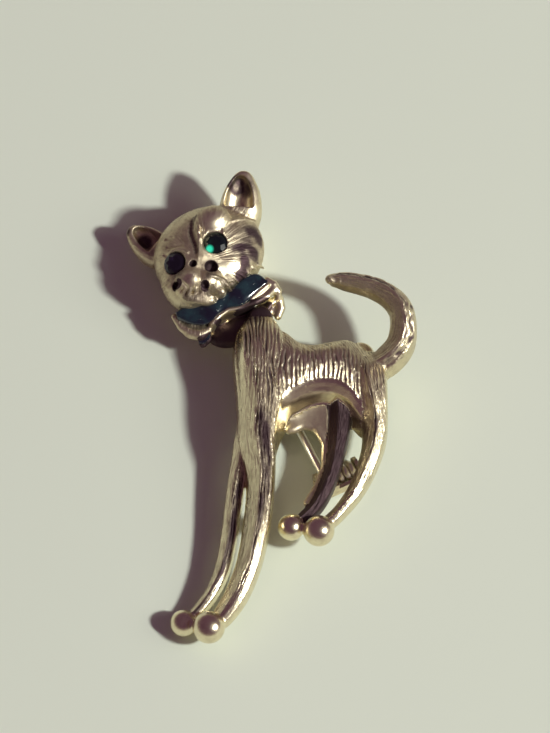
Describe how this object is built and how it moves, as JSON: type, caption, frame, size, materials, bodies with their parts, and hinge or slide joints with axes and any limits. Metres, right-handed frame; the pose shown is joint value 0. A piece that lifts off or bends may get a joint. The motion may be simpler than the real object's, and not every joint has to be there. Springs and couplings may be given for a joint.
{
  "type": "figural animal brooch",
  "caption": "Cast cat brooch with a tilted head, enamel bow, round eye stones, ribbed hollow body and a hinged pin on its back.",
  "frame": {"origin": "middle of the brooch's outline, on the plane that its back rests on", "axes": "+Z out of the brooch's front, +Y towards the cat's head, +X towards its tail, as it lies on a table"},
  "size_m": [0.0337, 0.0582, 0.0105],
  "materials": {
    "antique_gold": "antiqued gold-tone plating, brushed on the fur and polished on the rims and feet",
    "enamel": "dark teal enamel, glossy",
    "stone_green": "cut glass, foil backed",
    "stone_dark": "cut glass, foil backed",
    "finding": "plated sheet, worn",
    "pin_wire": "drawn wire, lightly gold-toned"
  },
  "bodies": {
    "brooch": {"cast_body": "antique_gold", "head": "antique_gold", "enamel_collar": "enamel", "enamel_tail": "enamel", "eye_stone_right": "stone_green", "eye_stone_left": "stone_dark", "hinge_bracket": "finding", "hinge_rivet": "finding"},
    "pin": {"pin_stem": "pin_wire"}
  },
  "joints": [
    {"name": "pin_swing", "type": "hinge", "parent": "brooch", "child": "pin", "pos_m": [0.00616, -0.00802, 0.00135], "axis": [-0.9018, -0.4321, 0], "range_deg": [0, 75]}
  ]
}
